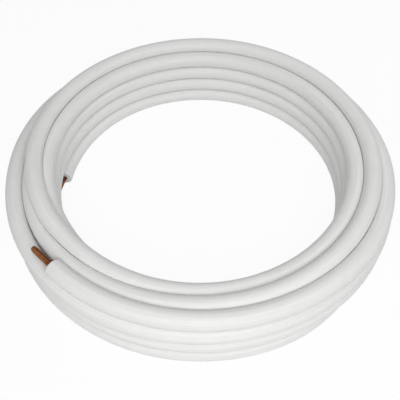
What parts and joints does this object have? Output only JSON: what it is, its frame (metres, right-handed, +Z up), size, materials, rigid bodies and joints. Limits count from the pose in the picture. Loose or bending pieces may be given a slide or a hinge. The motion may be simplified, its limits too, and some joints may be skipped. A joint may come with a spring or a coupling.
{
  "type": "insulated copper tube coil",
  "caption": "Flat coil of soft copper tube in a white foam sleeve, wound in three columns, with a bare copper end inside and outside, for running refrigerant between units.",
  "frame": {"origin": "centre of the coil on the floor it lies on", "axes": "+Z up along the coil axis; -Y towards the viewer of the picture; +X to the right in the picture"},
  "size_m": [0.6286, 0.6287, 0.1215],
  "materials": {
    "white_foam": "matte",
    "copper": "satin"
  },
  "bodies": {
    "root": {"sleeve_inner": "white_foam", "sleeve_outer": "white_foam", "copper_tube": "copper"}
  },
  "joints": []
}
